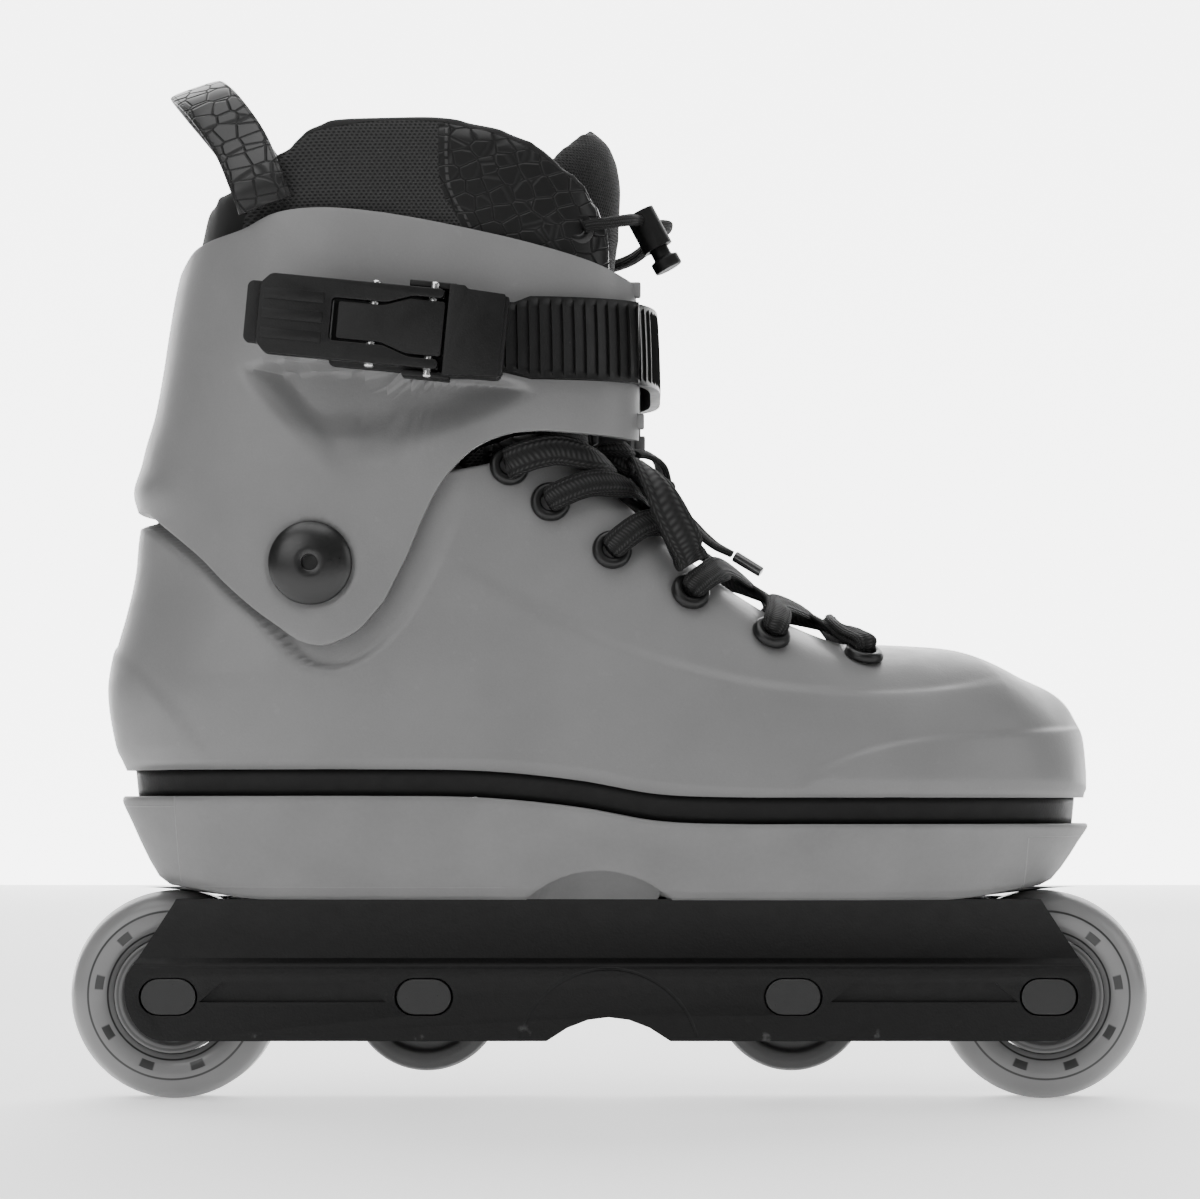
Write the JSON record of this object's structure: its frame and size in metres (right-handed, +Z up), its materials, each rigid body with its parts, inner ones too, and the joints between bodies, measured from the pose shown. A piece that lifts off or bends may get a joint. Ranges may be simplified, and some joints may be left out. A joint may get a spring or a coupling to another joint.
{
  "type": "inline skate",
  "caption": "Street inline skate for a right foot: hard shell boot, hinged cuff with ratchet buckle, laced padded liner, grind plate, frame and spinning wheels.",
  "frame": {"origin": "on the floor under the middle of the wheelbase, in the wheels' middle plane", "axes": "+X to the toe, +Y to the inner side of the foot, +Z up"},
  "size_m": [0.3104, 0.1164, 0.2944],
  "materials": {
    "grey_shell": "satin moulded grey plastic",
    "grey_plate": "satin moulded grey plastic",
    "black_plastic": "black moulded nylon",
    "urethane": "smooth pale cast urethane",
    "hub": "pale nylon core",
    "black_wheel": "hard black nylon",
    "steel": "bright steel",
    "black_steel": "blackened steel",
    "liner_fabric": "black mesh over foam",
    "foam": "black foam",
    "embossed_leather": "embossed synthetic leather",
    "lace_fabric": "flat woven black lace"
  },
  "bodies": {
    "boot": {"shell": "grey_shell", "midsole": "black_plastic", "soulplate": "grey_plate", "heel_shock_pad": "foam", "frame": "black_plastic", "frame_bolt_rear": "black_steel", "frame_bolt_front": "black_steel", "liner_foot": "liner_fabric", "tongue": "liner_fabric", "footbed": "foam", "cuff_pivot_bolt_outer": "black_steel", "cuff_pivot_bolt_inner": "black_steel", "axle_rear": "black_steel", "axle_screw_rear": "black_steel", "bearing_spacer_rear": "steel", "axle_mid_rear": "black_steel", "axle_screw_mid_rear": "black_steel", "bearing_spacer_mid_rear": "steel", "axle_mid_front": "black_steel", "axle_screw_mid_front": "black_steel", "bearing_spacer_mid_front": "steel", "axle_front": "black_steel", "axle_screw_front": "black_steel", "bearing_spacer_front": "steel", "lace": "lace_fabric", "lace_loop_outer": "lace_fabric", "lace_loop_inner": "lace_fabric", "lace_end_outer": "lace_fabric", "lace_end_inner": "lace_fabric", "aglet_outer": "black_plastic", "aglet_inner": "black_plastic"},
    "cuff": {"cuff": "grey_shell", "liner_collar": "liner_fabric", "heel_pull_loop": "embossed_leather", "ladder_strap": "black_plastic", "strap_screw": "black_steel", "strap_washer": "black_plastic", "buckle_base": "black_plastic", "buckle_lever_pin": "steel", "drawcord": "lace_fabric", "cord_lock_barrel": "black_plastic"},
    "buckle_lever": {"buckle_lever": "black_plastic", "buckle_pawl_pin": "steel"},
    "buckle_pawl": {"buckle_drive_pawl": "black_plastic"},
    "buckle_release": {"buckle_release_tab": "black_plastic"},
    "wheel_rear": {"tyre_rear": "urethane", "hub_rear": "hub", "bearing_rear_outer": "steel", "bearing_rear_inner": "steel"},
    "wheel_mid_rear": {"small_wheel_mid_rear": "black_wheel", "bearing_mid_rear_outer": "steel", "bearing_mid_rear_inner": "steel"},
    "wheel_mid_front": {"small_wheel_mid_front": "black_wheel", "bearing_mid_front_outer": "steel", "bearing_mid_front_inner": "steel"},
    "wheel_front": {"tyre_front": "urethane", "hub_front": "hub", "bearing_front_outer": "steel", "bearing_front_inner": "steel"},
    "cord_lock_plunger": {"cord_lock_plunger": "black_plastic"}
  },
  "joints": [
    {"name": "wheel_rear_spin", "type": "hinge", "parent": "boot", "child": "wheel_rear", "pos_m": [-0.12525, 0, 0.03], "axis": [0, 1, 0], "continuous": true},
    {"name": "wheel_mid_rear_spin", "type": "hinge", "parent": "boot", "child": "wheel_mid_rear", "pos_m": [-0.0525, 0, 0.03], "axis": [0, 1, 0], "continuous": true},
    {"name": "wheel_mid_front_spin", "type": "hinge", "parent": "boot", "child": "wheel_mid_front", "pos_m": [0.0525, 0, 0.03], "axis": [0, 1, 0], "continuous": true},
    {"name": "wheel_front_spin", "type": "hinge", "parent": "boot", "child": "wheel_front", "pos_m": [0.12525, 0, 0.03], "axis": [0, 1, 0], "continuous": true},
    {"name": "cuff_flex", "type": "hinge", "parent": "boot", "child": "cuff", "pos_m": [-0.082, 0, 0.1515], "axis": [0, 1, 0], "range_deg": [-2, 3], "stiffness_Nm_per_rad": 15},
    {"name": "buckle_lever_lift", "type": "hinge", "parent": "cuff", "child": "buckle_lever", "pos_m": [-0.048, -0.0555, 0.21478], "axis": [0.0958, 0, 0.9954], "range_deg": [0, 75]},
    {"name": "buckle_pawl_swing", "type": "hinge", "parent": "buckle_lever", "child": "buckle_pawl", "pos_m": [-0.06393, -0.0565, 0.21631], "axis": [0.0958, 0, 0.9954], "range_deg": [-8, 0], "stiffness_Nm_per_rad": 0.02},
    {"name": "buckle_release_press", "type": "hinge", "parent": "buckle_lever", "child": "buckle_release", "pos_m": [-0.0915, -0.0591, 0.21897], "axis": [0.0958, 0, 0.9954], "range_deg": [0, 10], "stiffness_Nm_per_rad": 0.02},
    {"name": "cord_lock_press", "type": "slide", "parent": "cuff", "child": "cord_lock_plunger", "axis": [-0.4741, 0, 0.8805], "range_m": [0, 0.003], "stiffness_N_per_m": 300}
  ]
}
